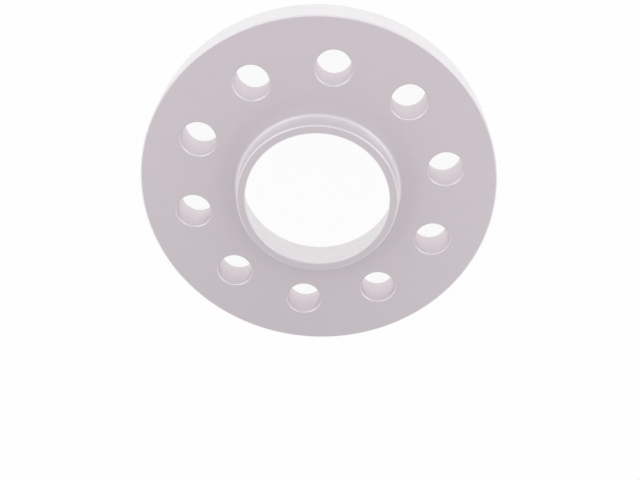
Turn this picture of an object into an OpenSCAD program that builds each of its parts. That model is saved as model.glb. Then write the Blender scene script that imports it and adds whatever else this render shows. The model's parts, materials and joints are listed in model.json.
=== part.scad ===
// Wheel spacer turned from one piece of aluminium.
// It lies on its hub face, with the lip that centres the wheel pointing up.
// The hub's collar goes into the seat underneath, and the lip repeats that collar for the wheel.

/* [Disc] */
// Outside diameter of the disc
disc_d = 166; // [150:1:190]
// Thickness from the hub face to the wheel face
disc_t = 17.5; // [15:0.5:30]
// Chamfer on both edges of the rim
rim_chamfer = 0.6; // [0.2:0.1:1.5]

/* [Bolt holes] */
// Diameter of the pitch circle that all the holes share
pitch_d = 120; // [108:0.1:130]
// Number of holes, evenly spaced
hole_count = 10; // [5:5:15]
// Diameter of the wheel bolts
bolt_d = 14; // [12:1:16]
// Gap all round a bolt in its hole
bolt_gap = 1.25; // [0.5:0.05:1.5]
// Chamfer on both ends of each hole
hole_chamfer = 0.4; // [0.2:0.1:1.2]

/* [Centring lip] */
// Diameter of the centre bore that the wheel and the spacer share
centre_d = 74.1; // [66.6:0.1:78.1]
// Gap all round a collar in its centre bore
centre_gap = 0.05; // [0.02:0.01:0.1]
// Height of the lip above the wheel face
lip_h = 11; // [7:0.5:14]
// Wall of the lip at its tip
lip_tip_wall = 4; // [3:0.05:6]
// Wall of the lip at the wheel face
lip_root_wall = 2.2; // [1.8:0.1:2.8]
// Chamfer on the outer edge of the lip's tip
lip_chamfer = 0.5; // [0.3:0.1:1.2]
// Chamfer on the inner edge of the lip's tip
bore_chamfer = 0.4; // [0.2:0.1:0.8]
// Fillet between the lip and the wheel face
lip_fillet = 2.2; // [1:0.1:3]

/* [Hub seat] */
// Depth of the seat from the hub face, with its lead-in
seat_depth = 11; // [8:0.5:12]
// Lead-in chamfer at the mouth of the seat
seat_lead_in = 5.5; // [3:0.5:6]

/* [Hidden] */

disc_r = disc_d / 2;
pitch_r = pitch_d / 2;
hole_r = bolt_d / 2 + bolt_gap;

// The seat has the shared centre bore's size, and the lip is smaller by the gap
seat_r = centre_d / 2;
lip_r = seat_r - centre_gap;
tip_z = disc_t + lip_h;
bore_r = lip_r - lip_tip_wall;

// Inside the lip the bore widens on a cone, which a 45 degree shoulder joins to the seat
bore_slope = (lip_tip_wall - lip_root_wall) / lip_h;
shoulder_r = (bore_r + (tip_z - seat_depth - seat_r) * bore_slope) / (1 - bore_slope);
shoulder_z = seat_depth + seat_r - shoulder_r;

// The bore's chamfer runs from the tip down to the cone
bore_edge_z = tip_z - bore_chamfer;
bore_edge_r = bore_r + bore_chamfer * bore_slope;

// How far a cutter reaches past the face that it cuts
cut_past = 1;
$fn = 180;

// Half of the turned section, with a sloped corner where the fillet goes
module turned_outline() {
    polygon([
        [seat_r + seat_lead_in, 0],
        [disc_r - rim_chamfer, 0],
        [disc_r, rim_chamfer],
        [disc_r, disc_t - rim_chamfer],
        [disc_r - rim_chamfer, disc_t],
        [lip_r + lip_fillet, disc_t],
        [lip_r, disc_t + lip_fillet],
        [lip_r, tip_z - lip_chamfer],
        [lip_r - lip_chamfer, tip_z],
        [bore_edge_r + bore_chamfer, tip_z],
        [bore_edge_r, bore_edge_z],
        [shoulder_r, shoulder_z],
        [seat_r, seat_depth],
        [seat_r, seat_lead_in]
    ]);
}

// Section with the sloped corner hollowed to the fillet's radius
module turned_section() {
    difference() {
        turned_outline();
        translate([lip_r + lip_fillet, disc_t + lip_fillet])
            circle(r = lip_fillet);
    }
}

// Cutter for one bolt hole with a chamfer at each face
module hole_cutter() {
    mouth_r = hole_r + hole_chamfer + cut_past;
    mouth_h = hole_chamfer + cut_past;
    translate([0, 0, -cut_past])
        cylinder(h = disc_t + 2 * cut_past, r = hole_r);
    translate([0, 0, -cut_past])
        cylinder(h = mouth_h, r1 = mouth_r, r2 = hole_r);
    translate([0, 0, disc_t - hole_chamfer])
        cylinder(h = mouth_h, r1 = hole_r, r2 = mouth_r);
}

// The whole spacer, with the first hole on the -Y side
module spacer() {
    color("silver")
    difference() {
        rotate_extrude()
            turned_section();
        for (i = [0 : hole_count - 1])
            rotate([0, 0, i * 360 / hole_count - 90])
                translate([pitch_r, 0, 0])
                    hole_cutter();
    }
}

spacer();
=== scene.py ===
"""Wheel spacer of satin anodised aluminium, lying on its hub face on a pale studio floor."""

import json
import math

import bpy
from bpy.props import FloatProperty, FloatVectorProperty, IntProperty, PointerProperty
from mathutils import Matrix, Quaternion, Vector


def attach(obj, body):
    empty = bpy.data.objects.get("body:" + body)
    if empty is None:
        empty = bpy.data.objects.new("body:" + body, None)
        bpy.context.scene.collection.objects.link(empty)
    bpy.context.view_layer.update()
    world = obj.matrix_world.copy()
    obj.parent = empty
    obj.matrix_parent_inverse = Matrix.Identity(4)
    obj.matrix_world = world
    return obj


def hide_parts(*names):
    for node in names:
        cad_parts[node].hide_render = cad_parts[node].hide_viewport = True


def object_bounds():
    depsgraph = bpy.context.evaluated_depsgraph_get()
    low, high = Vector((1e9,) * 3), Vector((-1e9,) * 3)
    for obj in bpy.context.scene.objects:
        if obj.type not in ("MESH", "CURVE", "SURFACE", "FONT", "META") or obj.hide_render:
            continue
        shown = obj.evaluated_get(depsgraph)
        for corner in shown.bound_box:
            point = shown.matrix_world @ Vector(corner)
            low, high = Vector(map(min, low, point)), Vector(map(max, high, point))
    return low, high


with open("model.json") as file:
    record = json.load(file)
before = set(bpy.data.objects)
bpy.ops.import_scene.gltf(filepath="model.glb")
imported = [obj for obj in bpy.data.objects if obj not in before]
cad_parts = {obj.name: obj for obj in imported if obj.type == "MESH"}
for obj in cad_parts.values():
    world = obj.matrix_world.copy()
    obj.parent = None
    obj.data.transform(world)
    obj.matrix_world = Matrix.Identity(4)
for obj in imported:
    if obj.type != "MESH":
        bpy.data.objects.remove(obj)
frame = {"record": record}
CAD_LOW, CAD_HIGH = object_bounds()

bl_info = {
    "name": "Wheel spacer",
    "version": (1, 0, 0),
    "blender": (4, 5, 0),
    "location": "View3D > Sidebar > Spacer",
    "description": "Turns, drills and finishes a wheel spacer and lights it on a pale floor",
    "category": "Object",
}

NODE = "spacer"
PIECE = "turned_spacer"
MM = 0.001
UP = (0, 0, 1)
ORIGIN = (0, 0, 0)

MOUNTS = {mount["name"]: mount for mount in frame["record"]["mounts"]}
WHEEL_FACE_Z = MOUNTS["wheel_face"]["pos_m"][2]
BOLT_HOLES = MOUNTS["bolt_holes"]["dims"]
HUB_SEAT = MOUNTS["hub_seat"]["dims"]
WHEEL_LIP = MOUNTS["wheel_lip"]["dims"]


def length(label, meaning, metres):
    """A length that can be changed in the sidebar."""
    return FloatProperty(
        name=label, description=meaning, default=metres, min=0.0, precision=5, unit="LENGTH"
    )


def amount(label, meaning, value, highest=1.0):
    """A plain number that can be changed in the sidebar."""
    return FloatProperty(name=label, description=meaning, default=value, min=0.0, max=highest)


def angle(label, meaning, degrees):
    """An angle that can be changed in the sidebar."""
    return FloatProperty(
        name=label, description=meaning, default=math.radians(degrees), unit="ROTATION"
    )


def power(label, meaning, watts):
    """A lamp's power that can be changed in the sidebar."""
    return FloatProperty(
        name=label, description=meaning, default=watts, min=0.0, precision=3, unit="POWER"
    )


def colour(label, meaning, rgb):
    """A colour that can be changed in the sidebar."""
    return FloatVectorProperty(
        name=label, description=meaning, default=rgb, size=3, subtype="COLOR", min=0.0, max=1.0
    )


class SpacerSizes(bpy.types.PropertyGroup):
    """Sizes of the turned and drilled disc."""

    disc_radius: length("Disc radius", "Radius of the rim", CAD_HIGH.x)
    disc_thickness: length("Disc thickness", "From the hub face to the wheel face", WHEEL_FACE_Z)
    rim_chamfer: length("Rim chamfer", "Chamfer on both edges of the rim", 0.6 * MM)
    pitch_radius: length("Pitch radius", "Radius of the bolt circle", BOLT_HOLES["pcd_mm"] / 2 * MM)
    hole_count: IntProperty(
        name="Holes", description="Number of bolt holes", default=BOLT_HOLES["count"], min=1
    )
    hole_radius: length("Hole radius", "Radius of a bolt hole", BOLT_HOLES["hole_r_mm"] * MM)
    hole_chamfer: length("Hole chamfer", "Chamfer on both ends of a hole", 0.4 * MM)
    lip_radius: length("Lip radius", "Outside of the centring lip", WHEEL_LIP["r_mm"] * MM)
    lip_height: length("Lip height", "Lip above the wheel face", CAD_HIGH.z - WHEEL_FACE_Z)
    lip_tip_wall: length("Lip tip wall", "Wall of the lip at its tip", 4.0 * MM)
    lip_root_wall: length("Lip root wall", "Wall of the lip at the wheel face", 2.2 * MM)
    lip_chamfer: length("Lip chamfer", "Chamfer outside the lip's tip", 0.5 * MM)
    lip_fillet: length("Lip fillet", "Fillet between lip and wheel face", 2.2 * MM)
    bore_chamfer: length("Bore chamfer", "Chamfer inside the lip's tip", 0.4 * MM)
    seat_radius: length("Seat radius", "Radius of the hub seat", HUB_SEAT["r_mm"] * MM)
    seat_length: length("Seat length", "Straight wall of the hub seat", HUB_SEAT["length_mm"] * MM)
    seat_lead_in: length("Seat lead-in", "Chamfer at the mouth of the hub seat", 5.5 * MM)
    edge_rounding: length("Edge rounding", "Radius left on every turned edge", 0.15 * MM)


class SpacerFinish(bpy.types.PropertyGroup):
    """Look of the blasted and anodised metal."""

    blasted_colour: colour("Blasted metal", "Faces, lip and rim chamfers", (0.876, 0.845, 0.869))
    blasted_roughness: amount("Blasted roughness", "Roughness of the faces and the lip", 0.35)
    blasted_metal: amount("Blasted metal share", "How far the blasted skin shines as bare metal", 0.5)
    turned_colour: colour("Turned metal", "Rim and chamfers of the holes", (0.874, 0.859, 0.874))
    turned_roughness: amount("Turned roughness", "Roughness of the rim and those chamfers", 0.34)
    # Bored metal: the same metal drawn darker as painted shade inside the bore and hub seat; its
    # roughness and tool rings are its own finish.
    bored_painted_shade_colour: colour("Bored metal", "Bore and hub seat", (0.805, 0.78, 0.80))
    bored_roughness: amount("Bored roughness", "Roughness of the bore and the hub seat", 0.4)
    # Drilled metal: the same metal drawn darker and pinker as painted shade inside the bolt holes; its
    # roughness and tool rings are its own finish.
    drilled_painted_shade_colour: colour("Drilled metal", "Walls of the bolt holes", (0.788, 0.724, 0.758))
    drilled_roughness: amount("Drilled roughness", "Roughness of the walls of the bolt holes", 0.45)
    # Painted shade: the metal is drawn darker round the lip's root, standing in for the shade that
    # falls there.
    corner_shade: amount("Corner shade", "How much darker the metal is round the lip's root", 0.04)
    tone_spread: amount("Tone spread", "How far the clouds change the tone, up and down", 0.012)
    grain_spread: amount("Grain spread", "How far the blasting pits change the tone, up and down", 0.04)
    ring_spread: amount("Ring spread", "How far the tool rings change the tone of inner walls", 0.03)
    gloss_spread: amount("Gloss spread", "How far the clouds change the roughness, up and down", 0.03)
    cloud_size: length("Cloud size", "Width of the soft patches that blasting leaves", 9.0 * MM)
    pit_size: length("Pit size", "Width of one blasting pit", 0.2 * MM)
    pit_depth: length("Pit depth", "Depth of the blasting pits", 0.014 * MM)
    ring_pitch: length("Ring pitch", "Distance between the tool rings on the walls", 0.35 * MM)
    ring_depth: length("Ring depth", "Depth of the tool rings outside", 0.002 * MM)
    inner_ring_depth: length("Inner ring depth", "Depth of the tool rings on inner walls", 0.01 * MM)


class SpacerStage(bpy.types.PropertyGroup):
    """Floor, light and camera."""

    floor_colour: colour("Floor", "Colour of the floor", (0.92, 0.92, 0.92))
    floor_white: amount("Floor white", "White that the floor shows in the deepest shadow", 0.92)
    floor_shadow: amount("Floor shadow", "How strongly the white floor shows the shadow", 0.1)
    floor_size: length("Floor size", "Side of the square floor", 6.0)
    wall_light: colour("Wall", "Room's walls", (1.0, 1.0, 1.0))
    ceiling_light: colour("Ceiling", "Middle of the room's ceiling", (0.535, 0.478, 0.506))
    ceiling_reach: angle("Ceiling reach", "From the ceiling's middle to the wall", 70.0)
    far_light: colour("Far patch", "Dim patch high up past the object", (0.20, 0.18, 0.19))
    far_height: angle("Far height", "Height of the dim patch above the horizon", 45.0)
    far_core: angle("Far core", "From the middle of the dim patch to where it fades", 6.0)
    far_reach: angle("Far reach", "From the middle of the dim patch to its edge", 21.0)
    side_power: power("Side power", "Each of the two soft boxes on the near side", 0.45)
    lens: FloatProperty(name="Lens", description="Focal length in millimetres", default=55.5, min=1.0)
    view_azimuth: angle("Azimuth", "Camera's turn round the object from -Y", 3.26)
    view_elevation: angle("Elevation", "Camera's height above the horizon", 61.0)
    view_roll: angle("Roll", "Camera's turn about its own axis", -176.12)
    view_distance: length("Distance", "From the camera to the point it looks at", 473.2 * MM)
    view_target: FloatVectorProperty(
        name="Target",
        description="Point on the wheel face that the camera looks at",
        default=(-4.05 * MM, 26.2 * MM, WHEEL_FACE_Z),
        size=3,
        subtype="XYZ",
        unit="LENGTH",
    )


# Modelling

DISC_SEGMENTS = 240
HOLE_SEGMENTS = 72
FILLET_STEPS = 12
EDGE_STEPS = 3
MERGE_DISTANCE = 1e-7
CUT_PAST = 1.0 * MM
MOUTH_FLARE = 0.6 * MM
MOUTH_RISE = 0.05 * MM
SMOOTH_ANGLE = math.radians(35)
FLAT_FACE_WEIGHT = 100


def rounded(section, closed):
    """Replaces each corner (radius, height, rounding, steps) of a section by its arc of points."""
    points = []
    for i, (r, z, rounding, steps) in enumerate(section):
        corner = Vector((r, z))
        at_end = not closed and i in (0, len(section) - 1)
        if rounding == 0.0 or at_end:
            points.append(corner)
            continue
        before = (Vector(section[i - 1][:2]) - corner).normalized()
        after = (Vector(section[(i + 1) % len(section)][:2]) - corner).normalized()
        half = before.angle(after) / 2
        centre = corner + (before + after).normalized() * (rounding / math.sin(half))
        reach = rounding / math.tan(half)
        start = corner + before * reach - centre
        sweep = start.angle_signed(corner + after * reach - centre)
        for step in range(steps + 1):
            turn = -sweep * step / steps
            points.append(centre + Vector((
                start.x * math.cos(turn) - start.y * math.sin(turn),
                start.x * math.sin(turn) + start.y * math.cos(turn),
            )))
    return points


def turn_on_lathe(name, points, segments, closed):
    """Turns a section round the Z axis, one ring at a time, and closes it on itself or with caps."""
    bpy.ops.object.select_all(action="DESELECT")
    fill = "NOTHING" if closed else "NGON"
    bpy.ops.mesh.primitive_circle_add(vertices=segments, radius=points[0].x, fill_type=fill)
    piece = bpy.context.object
    piece.name = name
    piece.data.name = name
    bpy.ops.object.mode_set(mode="EDIT")
    bpy.ops.mesh.select_mode(type="EDGE")
    bpy.ops.mesh.select_all(action="SELECT")
    bpy.ops.transform.translate(value=(0, 0, points[0].y))
    rings = points[1:] + points[:1] if closed else points[1:]
    last = points[0]
    for ring in rings:
        rise = (0, 0, ring.y - last.y)
        grow = ring.x / last.x
        bpy.ops.mesh.extrude_edges_move(TRANSFORM_OT_translate={"value": rise})
        bpy.ops.transform.resize(value=(grow, grow, 1), center_override=ORIGIN)
        last = ring
    if not closed:
        bpy.ops.mesh.edge_face_add()
    bpy.ops.mesh.select_all(action="SELECT")
    bpy.ops.mesh.remove_doubles(threshold=MERGE_DISTANCE)
    bpy.ops.mesh.normals_make_consistent(inside=False)
    bpy.ops.object.mode_set(mode="OBJECT")
    return piece


def disc_section(sizes):
    """Corners of the turned section, from the mouth of the hub seat round by the rim and the lip."""
    edge = sizes.edge_rounding
    top = sizes.disc_thickness
    tip = top + sizes.lip_height
    bore = sizes.lip_radius - sizes.lip_tip_wall
    slope = (sizes.lip_tip_wall - sizes.lip_root_wall) / sizes.lip_height
    seat_top = sizes.seat_lead_in + sizes.seat_length
    shoulder = (bore + (tip - seat_top - sizes.seat_radius) * slope) / (1 - slope)
    bore_edge = bore + sizes.bore_chamfer * slope
    corners = [
        (sizes.seat_radius + sizes.seat_lead_in, 0),
        (sizes.disc_radius - sizes.rim_chamfer, 0),
        (sizes.disc_radius, sizes.rim_chamfer),
        (sizes.disc_radius, top - sizes.rim_chamfer),
        (sizes.disc_radius - sizes.rim_chamfer, top),
        (sizes.lip_radius, top),
        (sizes.lip_radius, tip - sizes.lip_chamfer),
        (sizes.lip_radius - sizes.lip_chamfer, tip),
        (bore_edge + sizes.bore_chamfer, tip),
        (bore_edge, tip - sizes.bore_chamfer),
        (shoulder, seat_top + sizes.seat_radius - shoulder),
        (sizes.seat_radius, seat_top),
        (sizes.seat_radius, sizes.seat_lead_in),
    ]
    root = (sizes.lip_radius, top)
    return [
        (*corner, sizes.lip_fillet, FILLET_STEPS) if corner == root else (*corner, edge, EDGE_STEPS)
        for corner in corners
    ]


def hole_section(sizes):
    """Corners of the tool that cuts one hole, with a chamfer that rolls over into each face."""
    edge = sizes.edge_rounding
    top = sizes.disc_thickness
    mouth = sizes.hole_radius + sizes.hole_chamfer
    lip = mouth + MOUTH_FLARE
    return [
        (lip, -CUT_PAST, 0.0, 0),
        (lip, -MOUTH_RISE, 0.0, 0),
        (mouth, 0.0, edge, EDGE_STEPS),
        (sizes.hole_radius, sizes.hole_chamfer, edge, EDGE_STEPS),
        (sizes.hole_radius, top - sizes.hole_chamfer, edge, EDGE_STEPS),
        (mouth, top, edge, EDGE_STEPS),
        (lip, top + MOUTH_RISE, 0.0, 0),
        (lip, top + CUT_PAST, 0.0, 0),
    ]


def hole_tool(sizes):
    """One tool at the -Y end of the pitch circle, spun into a full ring of them."""
    tool = turn_on_lathe("hole_tool", rounded(hole_section(sizes), False), HOLE_SEGMENTS, False)
    copies = sizes.hole_count - 1
    bpy.ops.object.mode_set(mode="EDIT")
    bpy.ops.mesh.select_all(action="SELECT")
    bpy.ops.transform.translate(value=(0, -sizes.pitch_radius, 0))
    bpy.ops.mesh.spin(
        steps=copies,
        dupli=True,
        angle=math.tau * copies / sizes.hole_count,
        center=ORIGIN,
        axis=UP,
    )
    bpy.ops.mesh.select_all(action="SELECT")
    bpy.ops.mesh.normals_make_consistent(inside=False)
    bpy.ops.object.mode_set(mode="OBJECT")
    return tool


def pick(piece):
    """Selects one piece alone and makes it active."""
    bpy.ops.object.select_all(action="DESELECT")
    piece.select_set(True)
    bpy.context.view_layer.objects.active = piece


def apply_modifier(piece, modifier):
    """Applies one modifier of a piece."""
    pick(piece)
    bpy.ops.object.modifier_apply(modifier=modifier.name)


def drill(piece, tool):
    """Cuts the ring of holes out of the disc, removes the tool and merges doubled points."""
    cut = piece.modifiers.new("bolt_holes", "BOOLEAN")
    cut.operation = "DIFFERENCE"
    cut.solver = "EXACT"
    cut.object = tool
    apply_modifier(piece, cut)
    bpy.data.objects.remove(tool)
    bpy.ops.object.mode_set(mode="EDIT")
    bpy.ops.mesh.select_all(action="SELECT")
    bpy.ops.mesh.remove_doubles(threshold=MERGE_DISTANCE)
    bpy.ops.mesh.dissolve_degenerate(threshold=MERGE_DISTANCE)
    bpy.ops.object.mode_set(mode="OBJECT")


def smooth(piece):
    """Shades the round walls smooth and keeps the flat faces flat."""
    pick(piece)
    bpy.ops.object.shade_smooth_by_angle(angle=SMOOTH_ANGLE)
    weigh = piece.modifiers.new("flat_faces", "WEIGHTED_NORMAL")
    weigh.mode = "FACE_AREA"
    weigh.weight = FLAT_FACE_WEIGHT
    weigh.keep_sharp = True
    apply_modifier(piece, weigh)


# Materials

WHITE = (1.0, 1.0, 1.0, 1.0)
BARE_METAL = 1.0
GRIT_SHARE = 0.5
GRIT_DETAIL = 2.0
GRIT_ROUGHNESS = 0.6
CLOUD_DETAIL = 4.0
CLOUD_ROUGHNESS = 0.55
CLOUD_LOW = 0.3
CLOUD_HIGH = 0.7
WAVE_UNIT = 20.0
RING_WANDER = 1.5
RING_DETAIL = 2.0
RING_DETAIL_SCALE = 0.4
# Reach and stops of the painted shade round the lip's root.
PAINTED_SHADE_REACH = 13.0 * MM
PAINTED_SHADE_STOPS = (0.12, 0.45)
LEVEL = (1, 1, 0)

# A face is a wall below the first upright share of its normal, and flat above the second
WALL_TILT = 0.3
FLAT_TILT = 0.88

BLASTED, TURNED, BORED, DRILLED = range(4)


def new_material(name):
    """An empty node material with its output."""
    material = bpy.data.materials.new(name)
    material.use_nodes = True
    tree = material.node_tree
    tree.nodes.clear()
    return material, tree, place(tree, "ShaderNodeOutputMaterial")


def new_group(name, inputs, outputs):
    """An empty node group with float or vector inputs and float outputs."""
    group = bpy.data.node_groups.new(name, "ShaderNodeTree")
    for label, kind in inputs:
        group.interface.new_socket(label, in_out="INPUT", socket_type=kind)
    for label in outputs:
        group.interface.new_socket(label, in_out="OUTPUT", socket_type="NodeSocketFloat")
    return group, place(group, "NodeGroupInput"), place(group, "NodeGroupOutput")


def place(tree, kind, **settings):
    """A new node with some of its settings, such as its operation."""
    node = tree.nodes.new(kind)
    for name, value in settings.items():
        setattr(node, name, value)
    return node


def set_inputs(node, **values):
    """Sets a node's inputs by their names, with underscores for spaces."""
    for name, value in values.items():
        node.inputs[name.replace("_", " ")].default_value = value


def blasted_pits():
    """Group: height of the fine even pits that blasting leaves."""
    group, given, result = new_group(
        "blasted_pits",
        [("Position", "NodeSocketVector"), ("Pit Size", "NodeSocketFloat")],
        ["Height"],
    )
    scale = place(group, "ShaderNodeMath", operation="DIVIDE")
    scale.inputs[0].default_value = 1.0
    pits = place(group, "ShaderNodeTexVoronoi", feature="SMOOTH_F1")
    grit = place(group, "ShaderNodeTexNoise")
    set_inputs(grit, Detail=GRIT_DETAIL, Roughness=GRIT_ROUGHNESS)
    both = place(group, "ShaderNodeMath", operation="MULTIPLY_ADD")
    both.inputs[1].default_value = GRIT_SHARE
    group.links.new(given.outputs["Pit Size"], scale.inputs[1])
    for texture in (pits, grit):
        group.links.new(given.outputs["Position"], texture.inputs["Vector"])
        group.links.new(scale.outputs[0], texture.inputs["Scale"])
    group.links.new(grit.outputs["Fac"], both.inputs[0])
    group.links.new(pits.outputs["Distance"], both.inputs[2])
    group.links.new(both.outputs[0], result.inputs["Height"])


def soft_clouds():
    """Group: wide soft patches from 0 to 1."""
    group, given, result = new_group(
        "soft_clouds",
        [("Position", "NodeSocketVector"), ("Cloud Size", "NodeSocketFloat")],
        ["Clouds"],
    )
    scale = place(group, "ShaderNodeMath", operation="DIVIDE")
    scale.inputs[0].default_value = 1.0
    clouds = place(group, "ShaderNodeTexNoise")
    set_inputs(clouds, Detail=CLOUD_DETAIL, Roughness=CLOUD_ROUGHNESS)
    spread = place(group, "ShaderNodeMapRange")
    set_inputs(spread, From_Min=CLOUD_LOW, From_Max=CLOUD_HIGH)
    group.links.new(given.outputs["Cloud Size"], scale.inputs[1])
    group.links.new(given.outputs["Position"], clouds.inputs["Vector"])
    group.links.new(scale.outputs[0], clouds.inputs["Scale"])
    group.links.new(clouds.outputs["Fac"], spread.inputs["Value"])
    group.links.new(spread.outputs["Result"], result.inputs["Clouds"])


def tool_rings():
    """Group: height of the fine rings that a tool leaves along the turning axis."""
    group, given, result = new_group(
        "tool_rings",
        [("Position", "NodeSocketVector"), ("Pitch", "NodeSocketFloat")],
        ["Height"],
    )
    scale = place(group, "ShaderNodeMath", operation="DIVIDE")
    scale.inputs[0].default_value = math.tau / WAVE_UNIT
    rings = place(group, "ShaderNodeTexWave", wave_type="BANDS", bands_direction="Z")
    set_inputs(rings, Distortion=RING_WANDER, Detail=RING_DETAIL, Detail_Scale=RING_DETAIL_SCALE)
    group.links.new(given.outputs["Pitch"], scale.inputs[1])
    group.links.new(given.outputs["Position"], rings.inputs["Vector"])
    group.links.new(scale.outputs[0], rings.inputs["Scale"])
    group.links.new(rings.outputs["Fac"], result.inputs["Height"])


def corner_shade(sizes, finish):
    """Group: painted shade, the share of the tone that is left round the lip's root."""
    group, given, result = new_group("corner_shade", [("Position", "NodeSocketVector")], ["Tone"])
    level = place(group, "ShaderNodeVectorMath", operation="MULTIPLY")
    level.inputs[1].default_value = LEVEL
    radius = place(group, "ShaderNodeVectorMath", operation="LENGTH")
    reach = place(group, "ShaderNodeMapRange")
    set_inputs(reach, From_Min=sizes.lip_radius, From_Max=sizes.lip_radius + PAINTED_SHADE_REACH)
    shade = place(group, "ShaderNodeValToRGB")
    shade.color_ramp.interpolation = "EASE"
    darkest = 1 - finish.corner_shade
    for end in shade.color_ramp.elements:
        end.color = WHITE
    for stop in PAINTED_SHADE_STOPS:
        shade.color_ramp.elements.new(stop).color = (darkest, darkest, darkest, 1)
    group.links.new(given.outputs["Position"], level.inputs[0])
    group.links.new(level.outputs["Vector"], radius.inputs[0])
    group.links.new(radius.outputs["Value"], reach.inputs["Value"])
    group.links.new(reach.outputs["Result"], shade.inputs["Fac"])
    group.links.new(shade.outputs["Color"], result.inputs["Tone"])


def use_group(tree, name, position, **values):
    """Places a group in a material and feeds it the position."""
    node = place(tree, "ShaderNodeGroup", node_tree=bpy.data.node_groups[name])
    set_inputs(node, **values)
    tree.links.new(position, node.inputs["Position"])
    return node


def varied(tree, tone, mask, spread):
    """Makes a tone darker and lighter by a spread as a mask goes from 0 to 1."""
    change = place(tree, "ShaderNodeMapRange")
    set_inputs(change, To_Min=1 - spread, To_Max=1 + spread)
    result = place(tree, "ShaderNodeVectorMath", operation="SCALE")
    tree.links.new(mask, change.inputs["Value"])
    tree.links.new(tone, result.inputs["Vector"])
    tree.links.new(change.outputs["Result"], result.inputs["Scale"])
    return result.outputs["Vector"]


def metal(name, finish, tint, roughness, ring_depth, ring_spread, share):
    """Aluminium with soft clouds in tone and gloss, tool rings on its walls, a fine grain and painted
    shade round the lip's root.
    """
    material, tree, output = new_material(name)
    links = tree.links
    position = place(tree, "ShaderNodeTexCoord").outputs["Object"]
    pits = use_group(tree, "blasted_pits", position, Pit_Size=finish.pit_size)
    rings = use_group(tree, "tool_rings", position, Pitch=finish.ring_pitch)
    clouds = use_group(tree, "soft_clouds", position, Cloud_Size=finish.cloud_size)
    # The corner group paints shade round the lip's root into the tone.
    corner = use_group(tree, "corner_shade", position)

    clouded = place(tree, "ShaderNodeValToRGB")
    changes = (-finish.tone_spread, finish.tone_spread)
    for stop, change in zip(clouded.color_ramp.elements, changes):
        stop.color = (*(channel * (1 + change) for channel in tint), 1.0)
    links.new(clouds.outputs["Clouds"], clouded.inputs["Fac"])
    shaded = place(tree, "ShaderNodeVectorMath", operation="SCALE")
    links.new(clouded.outputs["Color"], shaded.inputs["Vector"])
    links.new(corner.outputs["Tone"], shaded.inputs["Scale"])
    tone = varied(tree, shaded.outputs["Vector"], pits.outputs["Height"], finish.grain_spread)
    if ring_spread:
        tone = varied(tree, tone, rings.outputs["Height"], ring_spread)

    gloss = place(tree, "ShaderNodeMapRange")
    set_inputs(gloss, To_Min=roughness + finish.gloss_spread, To_Max=roughness - finish.gloss_spread)
    links.new(clouds.outputs["Clouds"], gloss.inputs["Value"])

    ringed = place(tree, "ShaderNodeBump")
    set_inputs(ringed, Distance=ring_depth)
    links.new(rings.outputs["Height"], ringed.inputs["Height"])
    pitted = place(tree, "ShaderNodeBump")
    set_inputs(pitted, Distance=finish.pit_depth)
    links.new(pits.outputs["Height"], pitted.inputs["Height"])
    links.new(ringed.outputs["Normal"], pitted.inputs["Normal"])

    shader = place(tree, "ShaderNodeBsdfPrincipled")
    set_inputs(shader, Metallic=share)
    links.new(tone, shader.inputs["Base Color"])
    links.new(gloss.outputs["Result"], shader.inputs["Roughness"])
    links.new(pitted.outputs["Normal"], shader.inputs["Normal"])
    links.new(shader.outputs["BSDF"], output.inputs["Surface"])
    return material


def dress(piece, sizes, finish):
    """Gives the faces and lip, the turned walls and edges, the bore and the bolt holes their finish."""
    blasted_pits()
    soft_clouds()
    tool_rings()
    corner_shade(sizes, finish)
    outside = (finish.ring_depth, 0.0)
    inside = (finish.inner_ring_depth, finish.ring_spread)
    looks = (
        ("blasted", finish.blasted_colour, finish.blasted_roughness, *outside, finish.blasted_metal),
        ("turned", finish.turned_colour, finish.turned_roughness, *outside, BARE_METAL),
        # The bored and drilled colours are the metal darkened as painted shade inside the bore and the
        # bolt holes.
        ("bored", finish.bored_painted_shade_colour, finish.bored_roughness, *inside, BARE_METAL),
        ("drilled", finish.drilled_painted_shade_colour, finish.drilled_roughness, *inside, BARE_METAL),
    )
    piece.data.materials.clear()
    for name, *values in looks:
        piece.data.materials.append(metal(name + "_aluminium", finish, *values))
    for face in piece.data.polygons:
        face.material_index = finish_of(face, sizes)


def finish_of(face, sizes):
    """Finish of one face, by how steep it is and where it lies."""
    out = face.center.xy.length
    upright = abs(face.normal.z) < WALL_TILT
    if abs(face.normal.z) > FLAT_TILT:
        return BLASTED
    if out > sizes.disc_radius - sizes.rim_chamfer:
        return TURNED if upright else BLASTED
    if out > sizes.seat_radius + sizes.seat_lead_in:
        return DRILLED if upright else TURNED
    if face.normal.xy.dot(face.center.xy) < 0:
        return BORED
    return BLASTED


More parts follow.
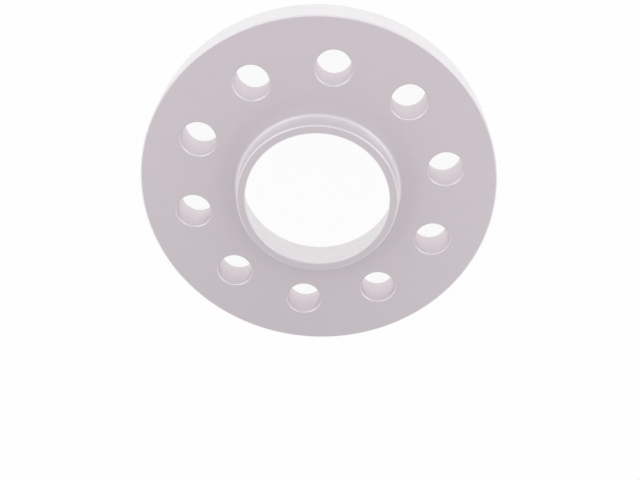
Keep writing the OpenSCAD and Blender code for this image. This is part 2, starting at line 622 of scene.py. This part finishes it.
def floor_material(stage):
    """Pale floor that the camera and the metal see as white, with the object's soft shadow on it."""
    material, tree, output = new_material("studio_floor")
    links = tree.links
    paint = place(tree, "ShaderNodeBsdfDiffuse")
    set_inputs(paint, Color=(*stage.floor_colour, 1.0))
    shadow = place(tree, "ShaderNodeBsdfDiffuse")
    set_inputs(shadow, Color=(stage.floor_shadow, stage.floor_shadow, stage.floor_shadow, 1.0))
    white = place(tree, "ShaderNodeEmission")
    set_inputs(white, Strength=stage.floor_white)
    shown = place(tree, "ShaderNodeAddShader")
    links.new(shadow.outputs["BSDF"], shown.inputs[0])
    links.new(white.outputs["Emission"], shown.inputs[1])

    path = place(tree, "ShaderNodeLightPath")
    either = place(tree, "ShaderNodeMath", operation="MAXIMUM")
    links.new(path.outputs["Is Camera Ray"], either.inputs[0])
    links.new(path.outputs["Is Glossy Ray"], either.inputs[1])
    seen = place(tree, "ShaderNodeMath", operation="MAXIMUM")
    links.new(either.outputs[0], seen.inputs[0])
    links.new(path.outputs["Is Transmission Ray"], seen.inputs[1])

    mix = place(tree, "ShaderNodeMixShader")
    links.new(seen.outputs[0], mix.inputs["Fac"])
    links.new(paint.outputs["BSDF"], mix.inputs[1])
    links.new(shown.outputs["Shader"], mix.inputs[2])
    links.new(mix.outputs["Shader"], output.inputs["Surface"])
    return material


# Stage

FLOOR_DROP = 0.05 * MM
LEFT_PLACE = (0.78, -0.6, 0.42)
RIGHT_PLACE = (-0.78, -0.6, 0.42)
SIDE_SIZE = (0.65, 0.65)


def lay_floor(stage):
    """A plain square floor just under the hub face."""
    bpy.ops.object.select_all(action="DESELECT")
    bpy.ops.mesh.primitive_plane_add(size=stage.floor_size, location=(0, 0, -FLOOR_DROP))
    floor = bpy.context.object
    floor.name = "studio_floor"
    floor.data.materials.append(floor_material(stage))


def cone(tree, axis, edge, core):
    """A mask of the room that rises from 0 at the edge of a cone to 1 in its core."""
    direction = place(tree, "ShaderNodeTexCoord")
    nearness = place(tree, "ShaderNodeVectorMath", operation="DOT_PRODUCT")
    nearness.inputs[1].default_value = axis
    rise = place(tree, "ShaderNodeMapRange")
    set_inputs(rise, From_Min=math.cos(edge), From_Max=math.cos(core))
    tree.links.new(direction.outputs["Generated"], nearness.inputs[0])
    tree.links.new(nearness.outputs["Value"], rise.inputs["Value"])
    return rise.outputs["Result"]


def backdrop(tree, light):
    """One plain background."""
    background = place(tree, "ShaderNodeBackground")
    set_inputs(background, Color=(*light, 1.0))
    return background.outputs["Background"]


def light_world(stage):
    """A soft pale room that dims from its walls to the ceiling, with a dim patch past the object."""
    world = bpy.data.worlds.new("studio_room")
    bpy.context.scene.world = world
    world.use_nodes = True
    tree = world.node_tree
    tree.nodes.clear()
    output = place(tree, "ShaderNodeOutputWorld")
    far_axis = (0, math.cos(stage.far_height), math.sin(stage.far_height))
    zones = (
        (cone(tree, UP, stage.ceiling_reach, 0.0), stage.ceiling_light),
        (cone(tree, far_axis, stage.far_reach, stage.far_core), stage.far_light),
    )
    shown = backdrop(tree, stage.wall_light)
    for share, light in zones:
        mix = place(tree, "ShaderNodeMixShader")
        tree.links.new(share, mix.inputs["Fac"])
        tree.links.new(shown, mix.inputs[1])
        tree.links.new(backdrop(tree, light), mix.inputs[2])
        shown = mix.outputs["Shader"]
    tree.links.new(shown, output.inputs["Surface"])


def soft_box(name, spot, size, watts):
    """A rectangular lamp at a spot, aimed at the object."""
    lamp = bpy.data.lights.new(name, "AREA")
    lamp.shape = "RECTANGLE"
    lamp.size, lamp.size_y = size
    lamp.energy = watts
    holder = bpy.data.objects.new(name, lamp)
    bpy.context.scene.collection.objects.link(holder)
    holder.location = spot
    holder.rotation_mode = "QUATERNION"
    holder.rotation_quaternion = (-Vector(spot)).to_track_quat("-Z", "Y")


def set_camera(stage):
    """A camera at the photograph's angle to the wheel face, turned as the photograph is."""
    lens = bpy.data.cameras.new("camera")
    lens.lens = stage.lens
    camera = bpy.data.objects.new("camera", lens)
    bpy.context.scene.collection.objects.link(camera)
    level = math.cos(stage.view_elevation)
    back = Vector((
        math.sin(stage.view_azimuth) * level,
        -math.cos(stage.view_azimuth) * level,
        math.sin(stage.view_elevation),
    ))
    camera.location = Vector(stage.view_target) + back * stage.view_distance
    camera.rotation_mode = "QUATERNION"
    roll = Quaternion(UP, stage.view_roll)
    camera.rotation_quaternion = (-back).to_track_quat("-Z", "Y") @ roll
    bpy.context.scene.camera = camera


class SPACER_OT_turn_spacer(bpy.types.Operator):
    """Turn the disc with its lip and seat, drill the bolt holes and finish the metal"""

    bl_idname = "spacer.turn_spacer"
    bl_label = "Turn spacer"

    def execute(self, context):
        sizes = context.scene.spacer_sizes
        section = rounded(disc_section(sizes), True)
        piece = turn_on_lathe(PIECE, section, DISC_SEGMENTS, True)
        drill(piece, hole_tool(sizes))
        smooth(piece)
        dress(piece, sizes, context.scene.spacer_finish)
        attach(piece, "root")
        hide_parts(NODE)
        return {"FINISHED"}


class SPACER_OT_set_stage(bpy.types.Operator):
    """Lay the floor, light the room and set the camera"""

    bl_idname = "spacer.set_stage"
    bl_label = "Set stage"

    def execute(self, context):
        stage = context.scene.spacer_stage
        context.scene.view_settings.view_transform = "Standard"
        lay_floor(stage)
        light_world(stage)
        soft_box("left", LEFT_PLACE, SIDE_SIZE, stage.side_power)
        soft_box("right", RIGHT_PLACE, SIDE_SIZE, stage.side_power)
        set_camera(stage)
        return {"FINISHED"}


class SPACER_PT_panel(bpy.types.Panel):
    """Sidebar with the sizes, the finish and the stage"""

    bl_idname = "SPACER_PT_panel"
    bl_label = "Wheel spacer"
    bl_space_type = "VIEW_3D"
    bl_region_type = "UI"
    bl_category = "Spacer"

    def draw(self, context):
        scene = context.scene
        for group in (scene.spacer_sizes, scene.spacer_finish, scene.spacer_stage):
            column = self.layout.column(align=True)
            for name in group.__annotations__:
                column.prop(group, name)
        self.layout.operator(SPACER_OT_turn_spacer.bl_idname)
        self.layout.operator(SPACER_OT_set_stage.bl_idname)


CLASSES = (
    SpacerSizes,
    SpacerFinish,
    SpacerStage,
    SPACER_OT_turn_spacer,
    SPACER_OT_set_stage,
    SPACER_PT_panel,
)


def register():
    for each in CLASSES:
        bpy.utils.register_class(each)
    bpy.types.Scene.spacer_sizes = PointerProperty(type=SpacerSizes)
    bpy.types.Scene.spacer_finish = PointerProperty(type=SpacerFinish)
    bpy.types.Scene.spacer_stage = PointerProperty(type=SpacerStage)


def unregister():
    del bpy.types.Scene.spacer_stage
    del bpy.types.Scene.spacer_finish
    del bpy.types.Scene.spacer_sizes
    for each in reversed(CLASSES):
        bpy.utils.unregister_class(each)


def main():
    register()
    bpy.ops.spacer.turn_spacer()
    bpy.ops.spacer.set_stage()


if __name__ == "__main__":
    main()
